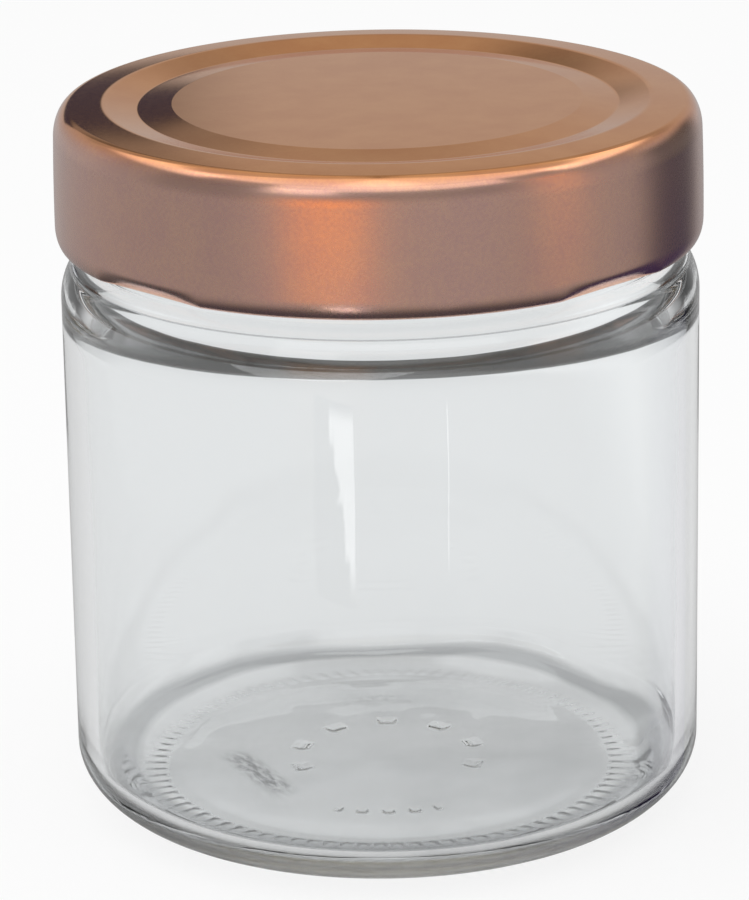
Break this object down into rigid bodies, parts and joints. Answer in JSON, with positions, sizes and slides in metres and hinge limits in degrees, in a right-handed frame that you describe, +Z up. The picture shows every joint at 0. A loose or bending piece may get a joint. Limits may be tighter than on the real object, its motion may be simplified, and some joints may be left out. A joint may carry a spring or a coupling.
{
  "type": "twist-off jar",
  "caption": "Squat straight-sided clear glass food jar with a deep copper-coloured metal lid that twists on lugs and lifts off, sealed by a liner ring.",
  "frame": {"origin": "on the jar's axis, in the plane that the jar stands on", "axes": "+Z up along the jar's axis, -Y towards the picture's camera, +X to the right of the picture"},
  "size_m": [0.073, 0.073, 0.0824],
  "materials": {
    "glass": "clear, bright moulded",
    "liner_compound": "soft, matt cured compound",
    "lacquered_tinplate": "satin copper lacquer"
  },
  "bodies": {
    "jar": {"glass_jar": "glass"},
    "liner": {"sealing_liner": "liner_compound"},
    "lid": {"lid_shell": "lacquered_tinplate"}
  },
  "joints": [
    {"name": "lid_lift", "type": "slide", "parent": "jar", "child": "liner", "axis": [0, 0, 1], "range_m": [0, 0.045]},
    {"name": "lid_twist", "type": "hinge", "parent": "liner", "child": "lid", "pos_m": [0, 0, 0], "axis": [0, 0, 1], "range_deg": [-60, 0]}
  ]
}
